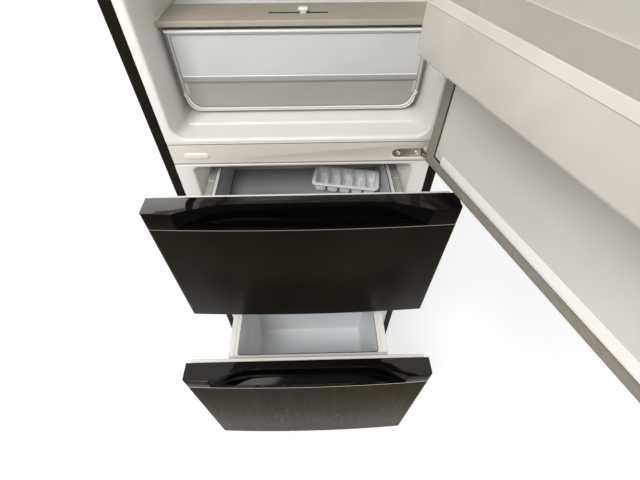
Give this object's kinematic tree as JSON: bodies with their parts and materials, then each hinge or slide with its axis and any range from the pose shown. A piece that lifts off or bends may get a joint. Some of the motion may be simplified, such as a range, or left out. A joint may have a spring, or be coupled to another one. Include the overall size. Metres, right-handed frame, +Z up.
{
  "type": "fridge freezer",
  "caption": "Free-standing fridge freezer with a hinged fridge door above pull-out freezer drawers, crisper, sliding tray and ice tray.",
  "frame": {"origin": "under the left front foot's pad, on the floor", "axes": "+Z up; -Y out of the cabinet's front, the way the drawers pull out; +X to the hinge side, right as seen from the front"},
  "size_m": [0.7723, 1.167, 1.9],
  "materials": {
    "black_steel": "satin",
    "dark_front": "satin",
    "gloss_black": "gloss",
    "zinc_steel": "matte",
    "base_steel": "matte",
    "foam": "matte",
    "liner": "satin",
    "rail_cream": "satin",
    "nickel": "satin",
    "screw_steel": "polished",
    "cover_grey": "satin",
    "shelf_glass": "gloss",
    "panel_white": "satin",
    "fin_aluminium": "satin",
    "duct_white": "satin",
    "motor_dark": "satin",
    "slide_zinc": "satin",
    "mount_rubber": "matte",
    "dark_plastic": "matte",
    "clear_plastic": "gloss",
    "door_gasket_taupe": "matte",
    "drawer_gasket_white": "matte",
    "bin_plastic": "gloss",
    "basket_grey": "satin",
    "basket_pale": "satin",
    "bar_white": "satin",
    "ice_white": "satin"
  },
  "bodies": {
    "cabinet": {"outer_casing": "black_steel", "rear_panel": "zinc_steel", "base_frame": "base_steel", "insulation_foam": "foam", "fridge_liner": "liner", "freezer_liner": "liner", "centre_rail": "rail_cream", "rail_hole_cap": "rail_cream", "divider_rail": "rail_cream", "middle_hinge_bracket": "nickel", "top_hinge_bracket": "nickel", "hinge_screws": "screw_steel", "top_hinge_cover": "gloss_black", "crisper_cover": "cover_grey", "glass_shelves": "shelf_glass", "air_duct_cover": "liner", "control_panel": "panel_white", "evaporator": "fin_aluminium", "evaporator_cover": "duct_white", "fan_motor": "motor_dark", "cabinet_slides": "slide_zinc", "compressor": "motor_dark", "compressor_mounts": "mount_rubber", "drip_tray": "dark_plastic", "condenser": "motor_dark"},
    "left_foot": {"front_foot_left": "dark_plastic"},
    "right_foot": {"front_foot_right": "dark_plastic"},
    "left_roller": {"roller_left": "dark_plastic"},
    "right_roller": {"roller_right": "dark_plastic"},
    "fan": {"fan_rotor": "duct_white"},
    "dial": {"temperature_dial": "panel_white"},
    "crisper": {"crisper_drawer": "clear_plastic"},
    "vent_slider": {"humidity_slider": "panel_white"},
    "fridge_door": {"door_panel": "dark_front", "door_foam": "foam", "door_liner": "liner", "door_gasket": "door_gasket_taupe", "door_handle_trim": "gloss_black", "door_top_cap": "gloss_black", "door_bin_lower": "bin_plastic", "door_bin_middle": "bin_plastic", "door_bin_upper": "bin_plastic"},
    "upper_drawer": {"upper_front_panel": "dark_front", "upper_handle_trim": "gloss_black", "upper_front_foam": "foam", "upper_inner_panel": "liner", "upper_gasket": "drawer_gasket_white", "upper_basket": "basket_grey", "upper_drawer_rails": "bar_white"},
    "upper_slide_middles": {"upper_middle_slides": "slide_zinc"},
    "tray": {"sliding_tray": "basket_grey"},
    "ice_cube_tray": {"ice_tray": "ice_white"},
    "lower_drawer": {"lower_front_panel": "dark_front", "lower_handle_trim": "gloss_black", "lower_front_foam": "foam", "lower_inner_panel": "liner", "lower_gasket": "drawer_gasket_white", "lower_basket": "basket_pale", "lower_drawer_rails": "bar_white"},
    "lower_slide_middles": {"lower_middle_slides": "slide_zinc"}
  },
  "joints": [
    {"name": "door_hinge", "type": "hinge", "parent": "cabinet", "child": "fridge_door", "pos_m": [0.521, -0.085, 0.914], "axis": [0, 0, 1], "range_deg": [-107.5, 12]},
    {"name": "upper_drawer_slide", "type": "slide", "parent": "cabinet", "child": "upper_drawer", "axis": [0, -1, 0], "range_m": [-0.1094, 0.24]},
    {"name": "upper_middle_slide", "type": "slide", "parent": "cabinet", "child": "upper_slide_middles", "axis": [0, -1, 0], "range_m": [-0.0547, 0.12]},
    {"name": "lower_drawer_slide", "type": "slide", "parent": "cabinet", "child": "lower_drawer", "axis": [0, -1, 0], "range_m": [-0.2724, 0.08]},
    {"name": "lower_middle_slide", "type": "slide", "parent": "cabinet", "child": "lower_slide_middles", "axis": [0, -1, 0], "range_m": [-0.1362, 0.04]},
    {"name": "tray_slide", "type": "slide", "parent": "upper_drawer", "child": "tray", "axis": [0, 1, 0], "range_m": [0, 0.17]},
    {"name": "ice_tray_lift", "type": "slide", "parent": "tray", "child": "ice_cube_tray", "axis": [0, 0, 1], "range_m": [0, 0.04]},
    {"name": "crisper_slide", "type": "slide", "parent": "cabinet", "child": "crisper", "axis": [0, -1, 0], "range_m": [0, 0.25]},
    {"name": "humidity_slide", "type": "slide", "parent": "cabinet", "child": "vent_slider", "axis": [1, 0, 0], "range_m": [-0.058, 0.04]},
    {"name": "dial_turn", "type": "hinge", "parent": "cabinet", "child": "dial", "pos_m": [0.31, -0.005, 1.829], "axis": [0, -1, 0], "range_deg": [-135, 135]},
    {"name": "fan_spin", "type": "hinge", "parent": "cabinet", "child": "fan", "pos_m": [0.24, 0.407, 0.76], "axis": [0, 1, 0], "continuous": true},
    {"name": "left_foot_turn", "type": "hinge", "parent": "cabinet", "child": "left_foot", "pos_m": [0, 0, 0.03], "axis": [0, 0, 1], "continuous": true},
    {"name": "right_foot_turn", "type": "hinge", "parent": "cabinet", "child": "right_foot", "pos_m": [0.48, 0, 0.03], "axis": [0, 0, 1], "continuous": true},
    {"name": "left_roller_spin", "type": "hinge", "parent": "cabinet", "child": "left_roller", "pos_m": [-0.01, 0.475, 0.015], "axis": [1, 0, 0], "continuous": true},
    {"name": "right_roller_spin", "type": "hinge", "parent": "cabinet", "child": "right_roller", "pos_m": [0.49, 0.475, 0.015], "axis": [1, 0, 0], "continuous": true}
  ],
  "couplings": [
    {"joint": "upper_middle_slide", "follows": "upper_drawer_slide", "ratio": 0.5},
    {"joint": "lower_middle_slide", "follows": "lower_drawer_slide", "ratio": 0.5}
  ]
}
